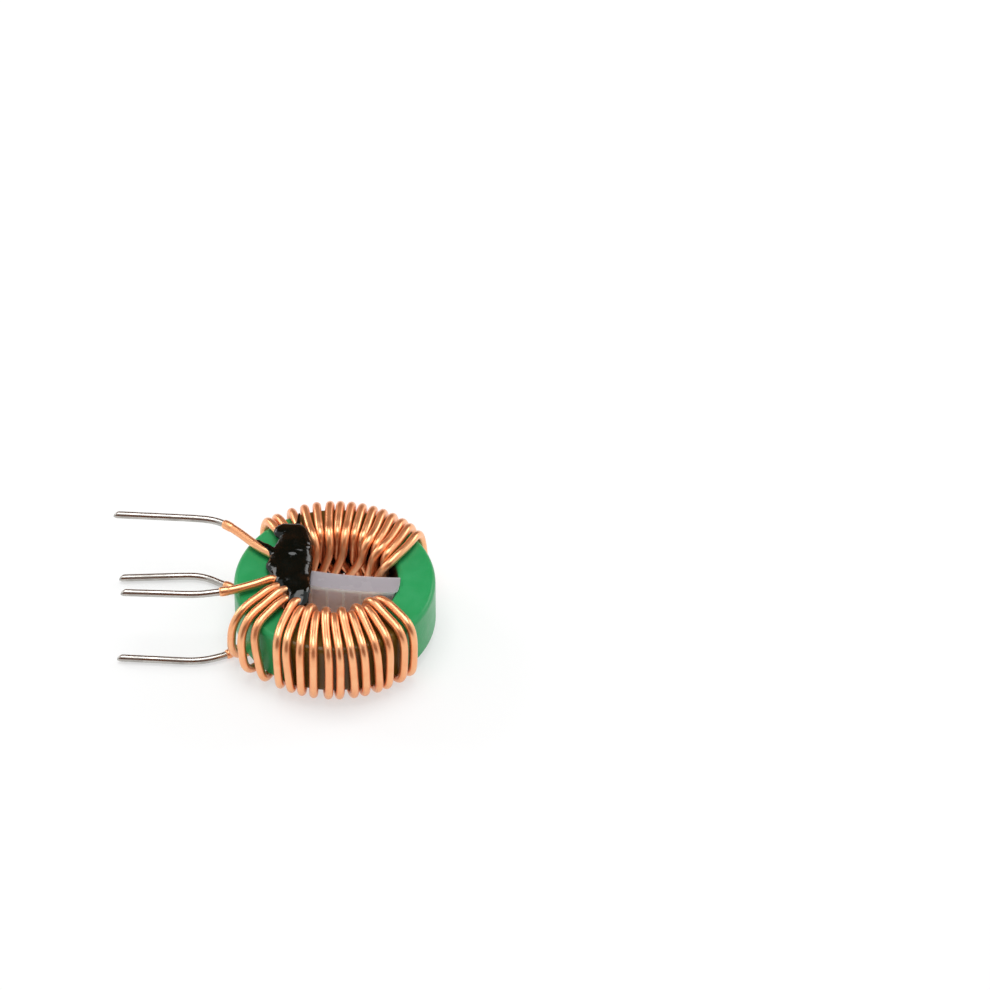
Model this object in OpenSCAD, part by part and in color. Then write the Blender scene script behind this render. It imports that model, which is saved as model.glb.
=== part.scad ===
// Toroidal common-mode inductor: a coated ferrite ring with two opposed windings,
// a ribbed divider strip across the window and two dabs of black fixing glue.
// Millimetres, +Z up. The part lies flat on its turns, with its leads towards -X.
// Angles along a winding are measured at the ring's axis from the lead side (-X).

/* [Core] */
// Outer diameter of the coated ferrite ring
core_od = 22.2; // [21:0.1:25]
// Diameter of the window in the middle of the ring
core_id = 13.8; // [13:0.1:15]
// Height of the ring
core_h = 6.5; // [5:0.1:9]
// Radius of the ring's rounded edges
core_edge = 0.65; // [0.3:0.05:1]

/* [Winding] */
// Diameter of the enamelled copper wire
wire_d = 0.96; // [0.6:0.01:0.96]
// Play between neighbouring turns where they crowd at the window's edge
turn_play = 0.06; // [0.02:0.01:0.1]
// Play between the turns and the flat faces of the ring
flat_play = 0.26; // [0.05:0.01:0.4]
// Play between the turns and the outer wall of the ring
outer_play = 0.41; // [0.2:0.01:0.6]
// Play between the turns and the wall of the window
inner_play = 0.2; // [0.05:0.01:0.3]
// Play between the two layers of legs inside the window
layer_play = 0.2; // [0.1:0.01:0.3]

/* [Leads] */
// How far the longest lead stands out beyond the ring
lead_l = 13.3; // [12.6:0.1:30]
// Length of the straight end of a lead, its cut tip apart
lead_straight = 7.2; // [4:0.1:7.4]
// Diameter of a stripped and tinned lead
tin_d = 0.8; // [0.5:0.01:0.85]
// Length of the cut tip of a lead
tip_l = 0.35; // [0.1:0.05:0.6]

/* [Divider] */
// Thickness of the divider strip
divider_t = 2.3; // [1.6:0.1:2.6]
// How far the strip's top stands above the ring
divider_rise = 0.15; // [0:0.05:0.4]
// Height of the strip's plain top edge
divider_cap = 0.5; // [0.3:0.05:1]
// Pitch of the strip's upright ribs
rib_pitch = 1.8; // [1.2:0.1:3]
// Width of a rib
rib_w = 0.3; // [0.2:0.05:0.6]
// Depth of the panels between the ribs
panel_depth = 0.08; // [0.04:0.01:0.2]

/* [Glue] */
// How high the top glue stands above the turns it holds
glue_rise = 0.75; // [0.6:0.05:1.2]
// Depth of the glue around the divider's foot
foot_glue_h = 1.6; // [0.8:0.1:2.5]

/* [Hidden] */
$fn = 96;

wire_r = wire_d / 2;
tin_r = tin_d / 2;
core_z = wire_d + flat_play;
top_z = core_z + core_h;
mid_z = core_z + core_h / 2;
mid_r = (core_od + core_id) / 4;
wall_half = (core_od - core_id) / 4;
// Half sizes of a turn around the ring's section
turn_out = wall_half + wire_r + outer_play;
turn_in = wall_half + wire_r + inner_play;
turn_high = core_h / 2 + wire_r + flat_play;
// The part's origin is under the middle of its outer box
ring_x = lead_l / 2;
// The lump where the enamel starts on a lead is this much thicker than the wire, and rests on the table
lump_r = 0.06;
top_lead_z = mid_z + turn_high;
low_lead_z = wire_r + lump_r;
// Gap left between the glue, or the divider, and what they lie against
seat_gap = 0.02;

// Radius of the strip's bow, height of its foot, its gap from the lead side and its cut nose
divider_bow = 52;
divider_foot = 0.5;
divider_end = 1.6;
nose_l = 1.6;
nose_cut = 0.1;
nose_turn = 48;
// How far below the ring's top the lip begins that rests on its rounded edge
lip_drop = 0.05;

// Where the strip stands in the window and how far it is turned
divider_at = [1.1, -0.65];
divider_turn = -7.5;

// Lumps of the top glue: [from the window's lead side, Y, above the leads' centre, half sizes]
glue_top = glue_rise - 0.75;
lump_sides = 14;
glue_runs = [
    [[1.9, 6.1, 0.3, 1.75, 1.5, 0.7 + glue_top], [2.4, 4.3, 0.3, 2, 1.6, 0.9 + glue_top],
        [1.9, 1.4, -0.1, 2.6, 1.9, 1.1 + glue_top], [2.2, -1, -0.2, 2.1, 1.7, 1.2 + glue_top],
        [3, -3.4, 0, 1.35, 1.65, 0.95 + glue_top]],
    [[2.7, 7, 0.25, 0.55, 0.8, 0.5], [2.8, 8.1, 0.25, 0.28, 0.5, 0.35],
        [2.85, 8.9, 0.25, 0.18, 0.25, 0.25]],
    [[1.5, 2.2, 0, 1, 1, 0.9], [-0.2, 3.4, 0.1, 0.6, 0.6, 0.5], [-1.6, 4.75, 0.1, 0.35, 0.4, 0.35]]
];
// Lumps of the glue at the strip's foot: [from the window's far side, Y, half length, half width]
foot_glue_z = 0.35;
foot_lumps = [[1.6, -0.9, 1.4, 2.6], [4.2, -0.6, 1.6, 2.2]];

// Outer angle of each turn, how far its foot drifts from that, and its own extra slack
front_out = [30, 37, 43, 58.6, 64, 72.3, 79.8, 88, 93.9, 100, 106.7, 113.5, 121.3, 130.4, 137];
front_drift = [-3, 4, 7.5, 1.5, 3, 0.5, -0.5, -0.5, -0.5, 1.5, 0.8, 1.4, -1.2, -1.5, -1];
back_out = [50.5, 55.5, 65, 72.5, 79.5, 87, 92.5, 98.5, 104.5, 110.5, 116, 122, 128.5, 134, 141];
back_drift = [-4, 0, 0, 0, 0, 0, 0, 0, 0, 1, 4, 4, 6.5, 6, 6];
front_slack = [0.85, 0.95, 0.2];
back_slack = [0.25, 0.05, 0];
// Angles at which each wire comes in from its top lead and goes out to its low lead
front_first = 8;
front_last = 8;
back_first = 23;
back_last = 20;
// Order in which the slots are wound: out in the first layer, back in the second
front_order = [0, 2, 4, 6, 8, 10, 12, 14, 13, 11, 9, 7, 5, 3, 1];
back_order = [0, 2, 4, 6, 8, 9, 11, 13, 14, 12, 10, 7, 5, 3, 1];
// Number of inner legs of each winding that lie in the first layer
front_first_layer = 8;
back_first_layer = 9;

// Squareness of a turn's corners, 2 being an ellipse
square_out = 3.5;
square_in = 4.4;
square_loose = 2.7;
loose_from = 0.5;

rings_per_turn = 16;
wire_sides = 8;

// Angle between neighbouring turns at the window's edge
inner_pitch = (wire_d + turn_play) / (core_id / 2) * 180 / PI;
// The front winding's first slots are wider apart than the rest, which end at last_front_in
first_front_in = 17;
wide_pitch = 9.5;
last_front_in = 141;
first_back_in = 41;
// A little more room where a leg of the first layer and one of the second end side by side
slot_ease = 0.7;
end_ease = 2;

function inner_front(k) = k < 3 ? first_front_in + wide_pitch * k
    : last_front_in - inner_pitch * (14 - k) + (k == 3 ? -slot_ease : k == 14 ? end_ease : 0);
function inner_back(k) = first_back_in + inner_pitch * k + (k > 8 ? slot_ease : 0) + (k == 14 ? end_ease : 0);

function unit(v) = v / norm(v);
function ramp(t) = let (u = min(max(t, 0), 1)) u * u * (3 - 2 * u);
function power(v, n) = sign(v) * pow(abs(v), 2 / n);
// The legs swell away from the wall where they enter the window: [from, over] angles of the turn at
// which that begins and ends, and its height in each layer
swell_in = [105, 30];
swell_out = [140, 35];
first_swell = 0.3;
second_swell = 0.05;
function swell(a) = ramp((a - swell_in[0]) / swell_in[1]) * (1 - ramp((a - swell_out[0]) / swell_out[1]));
// Where a leg of the second layer starts to leave the first layer, and over what angle of the turn
lift_from = 94;
lift_over = 66;
// The first legs of the second layer leave the first layer later: how many, and from where
late_legs = 1;
late_lift_from = 115;
// A leg of the second layer drops back to the first over this angle, up to the underside's middle
drop_over = 38;
// Height of a turn's crown over the window's edge, in each winding, where it begins and how far it
// takes to rise
front_crown = 0.4;
back_crown = 0.1;
crown_from = 0.55;
crown_over = 1.5;
// Share of a leg's height at which it starts to cross to the next slot of its layer, in the first
// layer and in the second, and where it ends
cross_from = [0.4, 0.12];
cross_to = 0.9;

// How far an inner leg of a layer stands off the first layer's place at angle a of the turn,
// where a leg of the second layer leaves the first at angle from
function layer_lift(second, a, from) =
    let (step = (wire_d + layer_play))
    second
        ? (a < 180 ? step * ramp((a - from) / lift_over) + second_swell * swell(a)
            : step * ramp((270 - a) / drop_over))
        : (a < 180 ? first_swell * swell(a) : 0);

// A winding: [side, outer angles, inner angles, foot angles, slack, order, first angle,
// last angle, legs in the first layer]
function winding(front) = let (out = front ? front_out : back_out, drift = front ? front_drift : back_drift) [
    front ? -1 : 1,
    out,
    [for (k = [0 : len(out) - 1]) front ? inner_front(k) : inner_back(k)],
    [for (k = [0 : len(out) - 1]) out[k] + drift[k]],
    [for (k = [0 : len(out) - 1]) k < len(front_slack) ? (front ? front_slack : back_slack)[k] : 0],
    front ? front_order : back_order,
    front ? front_first : back_first,
    front ? front_last : back_last,
    front ? front_first_layer : back_first_layer
];

// A turn rises over the top face of the ring from the outer edge towards the crowded window
function crown(w, across, up) =
    (w[0] < 0 ? front_crown : back_crown) * max(up, 0) * ramp((crown_from - across) / crown_over);

// Direction square to the turn at a point of its upper half
function turn_normal(x, z, square) =
    unit([sign(x) * pow(abs(x), square - 1) / turn_in, pow(abs(z), square - 1) / turn_high]);

// Inner half of turn i, a from 90 (top) through 180 (in the window) to 270 (underside)
function inner_point(w, i, a) =
    let (
        n = len(w[1]),
        from_in = i > 0 ? w[2][w[5][i - 1]] : w[6],
        from_out = i > 0 ? w[1][w[5][i - 1]] : w[6],
        to_in = i < n ? w[2][w[5][i]] : w[7],
        to_foot = i < n ? w[3][w[5][i]] : w[7],
        across = power(cos(a), square_in),
        up = power(sin(a), square_in),
        down = (1 - up) / 2,
        start = cross_from[i >= w[8] ? 1 : 0],
        slant = ramp((down - start) / (cross_to - start)),
        lift = layer_lift(i >= w[8], a, i < w[8] + late_legs ? late_lift_from : lift_from),
        normal = a < 180 ? turn_normal(across, up, square_in) : [-1, 0],
        r = mid_r + turn_in * across + lift * normal[0],
        z = mid_z + turn_high * up + lift * normal[1] + crown(w, across, up),
        edge = max(0, (r - mid_r) / turn_in + 1) / 2,
        theta = from_in + (to_in - from_in) * slant + (a < 180 ? from_out - from_in : to_foot - to_in) * edge
    )
    [-r * cos(theta), w[0] * r * sin(theta), z];

// Outer half of turn i, a from 270 (underside) through 360 (outer leg) to 450 (top)
function outer_point(w, i, a) =
    let (
        k = w[5][i],
        square = w[4][k] > loose_from ? square_loose : square_out,
        across = power(cos(a), square),
        up = power(sin(a), square),
        edge = (1 - across) / 2,
        theta = w[3][k] + (w[1][k] - w[3][k]) * (1 + up) / 2
            + (a < 360 ? w[2][k] - w[3][k] : w[2][k] - w[1][k]) * edge,
        r = mid_r + (turn_out + w[4][k]) * across,
        z = mid_z + turn_high * up + crown(w, across, up)
    )
    [-r * cos(theta), w[0] * r * sin(theta), z];

first_a = 112.5;
last_a = 247.5;
function turns(w) =
    let (step = 360 / rings_per_turn, last = 360 * len(w[1]) + last_a)
    [for (a = [first_a : step : last])
        let (i = floor((a - 90) / 360), b = a - 360 * i)
        b <= 270 ? inner_point(w, i, b) : outer_point(w, i, b)];

// A lead: [set back from the longest one, Y of its tip, angle of its straight end, bends].
// Each bend: [distance beyond the ring's edge, Y, kind], where kind 0 is tinned, 1 is the
// lump where the enamel starts and 2 is enamelled.
back_top_lead = [0, 9.24, -3.75, [[4.9, 8.68, 0], [3.6, 8.56, 0], [2.7, 8.42, 0], [1.6, 8.02, 0],
    [1.35, 7.89, 1], [0.7, 7.44, 1], [0.4, 7.19, 2], [-0.6, 6.29, 2], [-1.7, 5.14, 2], [-2.9, 3.94, 2]]];
front_top_lead = [1.2, -2.81, -2.4, [[4.2, -3.12, 0], [3.4, -3.07, 0], [2.4, -2.9, 0], [1.7, -2.76, 0],
    [1.5, -2.72, 1], [0.9, -2.61, 1], [0.6, -2.56, 2], [-0.2, -2.38, 2], [-1.3, -1.96, 2], [-2.5, -1.51, 2]]];
back_low_lead = [0.38, 7.16, 2.3, [[4.9, 7.48, 0], [3.4, 7.21, 0], [2.3, 6.58, 0], [1.6, 6.18, 0],
    [1.4, 6.08, 1], [0.9, 5.82, 1], [0.6, 5.66, 2], [-0.6, 4.96, 2], [-2.3, 3.66, 2]]];
front_low_lead = [0.62, -5.14, -3.8, [[4.8, -5.66, 0], [3.4, -5.56, 0], [2.1, -5.2, 0], [1.1, -4.82, 0],
    [0.9, -4.72, 1], [0.4, -4.44, 1], [0.1, -4.24, 2], [-0.8, -3.39, 2], [-2.2, -1.89, 2]]];

// The bent wire starts inside the straight end, a little thinner than it
root_l = 0.3;
root_step = 0.03;
// Share of a lead's radius that is left flat at its cut tip
tip_flat = 0.45;

function lead_tip(lead, z) = [lead[0] - core_od / 2 - lead_l, lead[1], z];
function lead_dir(lead) = [cos(lead[2]), sin(lead[2]), 0];
function lead_bends(lead, z) = concat(
    [lead_tip(lead, z) + (tip_l + lead_straight - root_l) * lead_dir(lead)],
    [for (p = lead[3]) [-core_od / 2 - p[0], p[1], z]]);
function lead_radii(lead) = concat([tin_r - root_step], [for (p = lead[3]) [tin_r, wire_r + lump_r, wire_r][p[2]]]);
function reversed(list) = [for (i = [len(list) - 1 : -1 : 0]) list[i]];

module ring_section() {
    r_in = core_id / 2;
    wall = (core_od - core_id) / 2;
    translate([r_in + core_edge, 0]) square([wall - 2 * core_edge, core_h]);
    translate([r_in, core_edge]) square([wall, core_h - 2 * core_edge]);
    for (x = [r_in + core_edge, r_in + wall - core_edge], y = [core_edge, core_h - core_edge])
        translate([x, y]) circle(r = core_edge);
}

module ferrite_core() {
    color("mediumseagreen") translate([ring_x, 0, core_z]) rotate_extrude() ring_section();
}

// A round wire of varying radius swept along a list of points
module sweep(path, radii) {
    n = len(path);
    dirs = [for (i = [0 : n - 1]) unit(path[min(i + 1, n - 1)] - path[max(i - 1, 0)])];
    start = unit(cross(dirs[0], [0, 0, 1]));
    sides = [for (i = 0, s = start; i < n; i = i + 1,
        s = i < n ? unit(s - (s * dirs[i]) * dirs[i]) : s) s];
    points = [for (i = [0 : n - 1]) for (j = [0 : wire_sides - 1])
        let (a = 360 * j / wire_sides, u = sides[i], v = cross(dirs[i], u))
        path[i] + radii[i] * (cos(a) * u + sin(a) * v)];
    walls = [for (i = [0 : n - 2]) for (j = [0 : wire_sides - 1])
        let (p = i * wire_sides, q = p + wire_sides, k = (j + 1) % wire_sides)
        [p + j, q + j, q + k, p + k]];
    caps = [[for (j = [0 : wire_sides - 1]) j],
        [for (j = [wire_sides - 1 : -1 : 0]) (n - 1) * wire_sides + j]];
    polyhedron(points, concat(walls, caps), convexity = 10);
}

// The straight end of a lead with its cut tip
module lead_end(lead, z) {
    translate(lead_tip(lead, z)) rotate([0, 90, lead[2]]) {
        cylinder(h = tip_l, r1 = tip_flat * tin_r, r2 = tin_r);
        translate([0, 0, tip_l]) cylinder(h = lead_straight, r = tin_r);
    }
}

// The bent and wound length of a wire, between the straight ends of its two leads
module wound(front, extra = 0) {
    w = winding(front);
    top = front ? front_top_lead : back_top_lead;
    low = front ? front_low_lead : back_low_lead;
    core = turns(w);
    path = concat(lead_bends(top, top_lead_z), core, reversed(lead_bends(low, low_lead_z)));
    radii = concat(lead_radii(top), [for (p = core) wire_r], reversed(lead_radii(low)));
    sweep(path, [for (r = radii) r + extra]);
}

module front_winding() {
    color("peru") translate([ring_x, 0, 0]) {
        wound(true);
        lead_end(front_top_lead, top_lead_z);
        lead_end(front_low_lead, low_lead_z);
    }
}

module back_winding() {
    color("peru") translate([ring_x, 0, 0]) {
        wound(false);
        lead_end(back_top_lead, top_lead_z);
        lead_end(back_low_lead, low_lead_z);
    }
}

// The strip lies across the window, turned and bowed a little, in a frame of its own
module at_divider() {
    translate([divider_at[0], divider_at[1], 0]) rotate(divider_turn) children();
}

// A slice of the bowed strip between two distances along it, from z to top
module bowed(from, to, near, far, z, top) {
    turn = 180 / PI / divider_bow;
    translate([0, divider_bow, z])
        rotate_extrude(angle = (to - from) * turn, start = 270 + from * turn)
            translate([divider_bow + near, 0]) square([far - near, top - z]);
}

module divider() {
    half_t = divider_t / 2;
    half_l = core_id / 2;
    top = top_z + divider_rise;
    panels = ceil((half_l - divider_end) / rib_pitch);
    color("lavender", 0.9) translate([ring_x, 0, 0]) intersection() {
        at_divider() difference() {
            bowed(-half_l + divider_end, half_l, -half_t, half_t, divider_foot, top);
            for (k = [-panels : panels - 1], side = [-1, 1])
                bowed(k * rib_pitch + rib_w / 2, (k + 1) * rib_pitch - rib_w / 2,
                    side > 0 ? half_t - panel_depth : -half_t - 1, side > 0 ? half_t + 1 : panel_depth - half_t,
                    divider_foot - 1, top - divider_cap);
            translate([half_l - nose_l, -half_t - nose_cut, 0]) rotate(nose_turn)
                translate([0, -divider_t, -1]) cube([divider_t * 2, divider_t, top + 2]);
        }
        union() {
            cylinder(h = top + 1, r = core_id / 2 - seat_gap);
            translate([0, 0, top_z - lip_drop]) cylinder(h = top, r = core_id / 2 + core_edge / 2);
        }
    }
}

// A lump of glue: a flattened ball
module lump(p) {
    translate([p[0] - core_id / 2, p[1], p[2] + top_lead_z]) scale([p[3], p[4], p[5]]) sphere(1, $fn = lump_sides);
}

// Glue across the lead side of the window: it grips the first turns, both top leads and the strip
module top_glue_lumps() {
    for (run = glue_runs) for (k = [0 : len(run) - 2]) hull() {
        lump(run[k]);
        lump(run[k + 1]);
    }
}

module top_glue() {
    color("black") translate([ring_x, 0, 0]) resize([0, 0, 0]) difference() {
        top_glue_lumps();
        translate([0, 0, core_z]) rotate_extrude() offset(delta = seat_gap) ring_section();
        wound(true, seat_gap);
        wound(false, seat_gap);
        translate([-ring_x, 0, 0]) divider();
    }
}

// Glue in the bottom of the window around the strip's foot, away from the leads
module bottom_glue() {
    color("black") translate([ring_x, 0, 0]) resize([0, 0, 0]) difference() {
        hull() for (p = foot_lumps)
            translate([core_id / 2 - p[0], p[1], foot_glue_z]) scale([p[2], p[3], foot_glue_h])
                intersection() {
                    sphere(1, $fn = lump_sides);
                    translate([-1, -1, 0]) cube([2, 2, 1]);
                }
        translate([0, 0, core_z]) rotate_extrude() offset(delta = seat_gap) ring_section();
        wound(true, seat_gap);
        wound(false, seat_gap);
        translate([-ring_x, 0, 0]) divider();
    }
}

ferrite_core();
front_winding();
back_winding();
divider();
top_glue();
bottom_glue();
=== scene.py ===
"""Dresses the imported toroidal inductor: wire, tinned leads, glue, divider strip and coated ring.

Lengths are in millimetres until a mesh is made, where MM turns them into Blender's metres. Angles
along a winding are measured at the ring's axis from the lead side (-X), in degrees.
"""

from __future__ import annotations

import logging
import math
from abc import ABC, abstractmethod
from dataclasses import dataclass
from enum import Enum

import bmesh
import bpy
import numpy as np
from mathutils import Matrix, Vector, noise

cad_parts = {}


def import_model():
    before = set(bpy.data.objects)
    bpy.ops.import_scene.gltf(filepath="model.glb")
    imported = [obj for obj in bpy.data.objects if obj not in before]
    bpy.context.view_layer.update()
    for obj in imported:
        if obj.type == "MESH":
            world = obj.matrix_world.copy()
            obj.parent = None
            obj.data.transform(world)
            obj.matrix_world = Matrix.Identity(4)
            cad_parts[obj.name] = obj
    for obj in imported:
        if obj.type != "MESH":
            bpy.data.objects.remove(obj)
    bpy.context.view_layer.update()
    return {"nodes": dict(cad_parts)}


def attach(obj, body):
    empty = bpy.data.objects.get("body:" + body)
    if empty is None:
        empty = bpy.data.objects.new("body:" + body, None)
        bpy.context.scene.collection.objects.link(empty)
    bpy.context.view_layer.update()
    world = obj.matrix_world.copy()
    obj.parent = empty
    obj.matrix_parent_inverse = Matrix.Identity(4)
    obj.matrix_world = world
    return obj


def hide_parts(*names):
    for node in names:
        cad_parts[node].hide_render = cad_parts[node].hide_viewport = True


log = logging.getLogger("inductor")

MM = 0.001
BODY = "root"

Rgb = tuple[float, float, float]
Point = tuple[float, float, float]


class Side(Enum):
    """The half of the ring that a winding covers, by the sign of its Y."""

    FRONT = -1
    BACK = 1


class Bend(Enum):
    """What the wire is at a bend of its lead."""

    TINNED = 0
    LUMP = 1
    ENAMELLED = 2


class Slot(Enum):
    """The record's material slots by name; nothing in this script uses them."""

    COPPER = "enamelled_copper"
    TIN = "tinned"
    DIVIDER = "divider"
    GLUE = "glue"


# ---------------------------------------------------------------- sizes


@dataclass(frozen=True)
class RingSizes:
    """Sizes of the coated ring and of the wire wound on it, as in the part's source.

    Attributes:
        outer_d: Outer diameter of the coated ring.
        inner_d: Diameter of its window.
        height: Its height.
        offset_x: X of its axis.
        wire_d: Diameter of the enamelled wire.
        tin_d: Diameter of a stripped and tinned end.
        flat_play: Gap between the turns and the ring's flat faces.
        outer_play: Gap between the turns and its outer wall.
        inner_play: Gap between the turns and the window's wall.
        layer_play: Gap between the two layers in the window.
        turn_play: Gap between neighbouring turns at the window's edge.
    """

    outer_d: float = 22.2
    inner_d: float = 13.8
    height: float = 6.5
    offset_x: float = 6.65
    wire_d: float = 0.96
    tin_d: float = 0.8
    flat_play: float = 0.26
    outer_play: float = 0.41
    inner_play: float = 0.2
    layer_play: float = 0.2
    turn_play: float = 0.06

    @property
    def wire_r(self) -> float:
        """Radius of the enamelled wire."""
        return self.wire_d / 2

    @property
    def tin_r(self) -> float:
        """Radius of a stripped and tinned end."""
        return self.tin_d / 2

    @property
    def mid_r(self) -> float:
        """Radius of the circle through the middle of the ring's section."""
        return (self.outer_d + self.inner_d) / 4

    @property
    def wall_half(self) -> float:
        """Half the width of the ring's section."""
        return (self.outer_d - self.inner_d) / 4

    @property
    def mid_z(self) -> float:
        """Height of the middle of the ring above the table."""
        return self.wire_d + self.flat_play + self.height / 2

    @property
    def turn_high(self) -> float:
        """Half height of a turn, to the middle of the wire."""
        return self.height / 2 + self.wire_r + self.flat_play

    @property
    def turn_out(self) -> float:
        """Reach of a turn outwards from the middle of the ring's section."""
        return self.wall_half + self.wire_r + self.outer_play

    @property
    def turn_in(self) -> float:
        """Reach of a turn inwards from the middle of the ring's section."""
        return self.wall_half + self.wire_r + self.inner_play

    @property
    def top_lead_z(self) -> float:
        """Height of the leads that lie on top."""
        return self.mid_z + self.turn_high

    @property
    def inner_pitch(self) -> float:
        """Angle between neighbouring turns at the window's edge."""
        return math.degrees((self.wire_d + self.turn_play) / (self.inner_d / 2))


RING = RingSizes()
AXIS = np.array([RING.offset_x, 0.0, 0.0])


def ramp(t: np.ndarray | float) -> np.ndarray:
    """Eases from 0 to 1 while t goes from 0 to 1."""
    u = np.clip(t, 0.0, 1.0)
    return u * u * (3.0 - 2.0 * u)


def power(v: np.ndarray, n: np.ndarray | float) -> np.ndarray:
    """The signed power that turns a circle's cosine or sine into a squarer loop's."""
    return np.sign(v) * np.abs(v) ** (2.0 / n)


# ---------------------------------------------------------------- mesh helpers


# Number of sections over which the oblique cut of a tube's end fades out
CUT_SECTIONS = 6


def link(name: str, mesh: bpy.types.Mesh) -> bpy.types.Object:
    """Makes a smooth shaded object of a mesh and links it to the scene.

    Args:
        name: The object's name.
        mesh: Its mesh, in metres.

    Returns:
        The new object.
    """
    mesh.name = name
    obj = bpy.data.objects.new(name, mesh)
    bpy.context.scene.collection.objects.link(obj)
    mesh.shade_smooth()
    return obj


def object_of(name: str, shape: bmesh.types.BMesh) -> bpy.types.Object:
    """Makes an object of a shape and frees the shape.

    Args:
        name: The object's name.
        shape: Its shape, in metres.

    Returns:
        The new object.
    """
    mesh = bpy.data.meshes.new(name)
    shape.to_mesh(mesh)
    shape.free()
    return link(name, mesh)


def mesh_of(verts: np.ndarray, faces: list[tuple[int, ...]]) -> bpy.types.Mesh:
    """Makes a mesh.

    Args:
        verts: Its points, in millimetres.
        faces: Its faces, as tuples of point numbers.

    Returns:
        The mesh, in metres.
    """
    mesh = bpy.data.meshes.new("mesh")
    mesh.from_pydata((np.asarray(verts) * MM).tolist(), [], faces)
    mesh.update()
    return mesh


def frames(path: np.ndarray) -> tuple[np.ndarray, np.ndarray, np.ndarray]:
    """Carries a frame without twist along a path.

    Args:
        path: The path's points.

    Returns:
        The direction and the two sideways unit vectors at each point.
    """
    along = np.gradient(path, axis=0)
    along /= np.linalg.norm(along, axis=1)[:, None]
    side = np.zeros_like(path)
    start = np.cross(along[0], (0.0, 0.0, 1.0))
    side[0] = start / np.linalg.norm(start)
    for i in range(1, len(path)):
        level = side[i - 1] - np.dot(side[i - 1], along[i]) * along[i]
        side[i] = level / np.linalg.norm(level)
    return along, side, np.cross(along, side)


def tube(path: np.ndarray, radii: np.ndarray, sides: int, cut: float = 0.0) -> bpy.types.Mesh:
    """Sweeps a round section along a path and closes both ends.

    Args:
        path: The path's points, in millimetres.
        radii: The radius at each point.
        sides: The number of points around the section.
        cut: How far the first section leans along the path, as an oblique cut, in millimetres.

    Returns:
        The mesh of the tube.
    """
    along, u, v = frames(path)
    turn = np.linspace(0.0, 2.0 * np.pi, sides, endpoint=False)
    cosine, sine = np.cos(turn)[:, None], np.sin(turn)[:, None]
    rings = path[:, None] + radii[:, None, None] * (cosine * u[:, None] + sine * v[:, None])
    fade = np.linspace(1.0, 0.0, CUT_SECTIONS)[:, None, None]
    rings[:CUT_SECTIONS] += fade * (cut * cosine) * along[:CUT_SECTIONS, None]
    ids = np.arange(len(path) * sides).reshape(-1, sides)
    ahead = np.roll(ids, -1, axis=1)
    walls = np.stack([ids[:-1], ids[1:], ahead[1:], ahead[:-1]], axis=-1).reshape(-1, 4)
    caps = [ids[0].tolist(), ids[-1, ::-1].tolist()]
    return mesh_of(rings.reshape(-1, 3), [tuple(face) for face in walls.tolist() + caps])


def arc_length(path: np.ndarray) -> np.ndarray:
    """The distance along a path at each of its points."""
    return np.r_[0.0, np.cumsum(np.linalg.norm(np.diff(path, axis=0), axis=1))]


def resampled(path: np.ndarray, step: float) -> np.ndarray:
    """The same path with its points a fixed distance apart.

    Args:
        path: The path's points.
        step: The distance between the new points.

    Returns:
        The new points, with both ends kept.
    """
    s = arc_length(path)
    t = np.linspace(0.0, s[-1], int(round(s[-1] / step)) + 1)
    return np.stack([np.interp(t, s, path[:, k]) for k in range(3)], axis=1)


def smoothed(path: np.ndarray, reach: int) -> np.ndarray:
    """A path rounded by a running mean, with its ends carried on straight first.

    Args:
        path: Evenly spaced points.
        reach: The number of points to each side that the mean takes in.

    Returns:
        The rounded points, as many as were given.
    """
    kernel = np.hanning(2 * reach + 3)[1:-1]
    kernel /= kernel.sum()
    steps = np.arange(reach, 0, -1)[:, None]
    before = path[0] + steps * (path[0] - path[1])
    after = path[-1] + steps[::-1] * (path[-1] - path[-2])
    padded = np.vstack([before, path, after])
    rows = [np.convolve(padded[:, k], kernel, mode="valid") for k in range(3)]
    return np.stack(rows, axis=1)


def baked(obj: bpy.types.Object) -> bpy.types.Object:
    """Applies an object's modifiers to its mesh.

    Args:
        obj: The object.

    Returns:
        The same object.
    """
    graph = bpy.context.evaluated_depsgraph_get()
    mesh = bpy.data.meshes.new_from_object(obj.evaluated_get(graph))
    obj.modifiers.clear()
    obj.data = mesh
    mesh.shade_smooth()
    return obj


def dress(
    obj: bpy.types.Object, materials: list[bpy.types.Material], node: str = ""
) -> None:
    """Gives a new piece its materials, hangs it on the part's body and hides the CAD node that it
    replaces.

    Args:
        obj: The piece, which rides on the part's one body.
        materials: Its materials.
        node: The CAD node that it replaces, if it replaces one.
    """
    for material in materials:
        obj.data.materials.append(material)
    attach(obj, BODY)
    if node:
        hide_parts(node)
    log.info("%s: %d faces", obj.name, len(obj.data.polygons))


# ---------------------------------------------------------------- shader groups


# The painted shade between the close turns begins and ends over these spans of the cosine of the
# bearing from +X
SECTOR_EDGES = ((-0.52, -0.44), (0.74, 0.66))
FLOAT = "NodeSocketFloat"
COLOR = "NodeSocketColor"
# A Mix node's inputs for its factor, two numbers and two colours, and its outputs for each
FACTOR, NUMBER_A, NUMBER_B, COLOUR_A, COLOUR_B = 0, 2, 3, 6, 7
MIXED_NUMBER, MIXED_COLOUR = 0, 2

Socket = bpy.types.NodeSocket
Feed = float | Rgb | Socket


def fill(tree: bpy.types.NodeTree, socket: Socket, feed: Feed) -> None:
    """Gives an input its number or colour, or joins a socket to it.

    Args:
        tree: The tree that holds the input's node.
        socket: The input.
        feed: The number, colour or socket.
    """
    if isinstance(feed, Socket):
        tree.links.new(feed, socket)
    else:
        socket.default_value = (*feed, 1.0) if socket.type == "RGBA" else feed


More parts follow.
